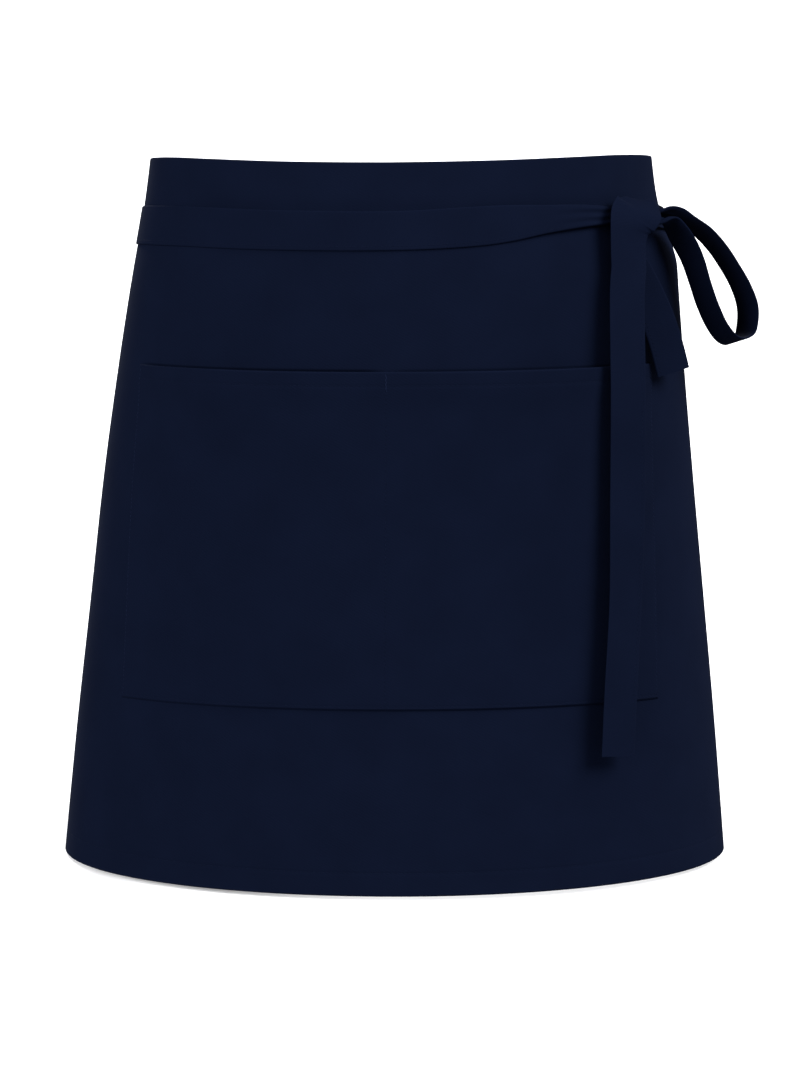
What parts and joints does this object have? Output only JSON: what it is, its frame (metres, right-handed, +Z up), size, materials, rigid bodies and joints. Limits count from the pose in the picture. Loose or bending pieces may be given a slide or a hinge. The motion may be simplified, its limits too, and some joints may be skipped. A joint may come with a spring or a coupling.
{
  "type": "bistro apron",
  "caption": "Short A-line waist apron of navy twill in its worn form, open at the back, with a wide divided patch pocket and ties knotted in a half bow at the side.",
  "frame": {"origin": "middle of the waist, at the height of the tie across the front", "axes": "+Z up along the body, -Y out of the front, +X to the wearer's left"},
  "size_m": [0.4941, 0.3079, 0.502],
  "materials": {
    "navy_twill": "matt, with a faint sheen"
  },
  "bodies": {
    "root": {"skirt_panel": "navy_twill", "patch_pocket": "navy_twill", "front_tie": "navy_twill", "side_tie": "navy_twill"}
  },
  "joints": []
}
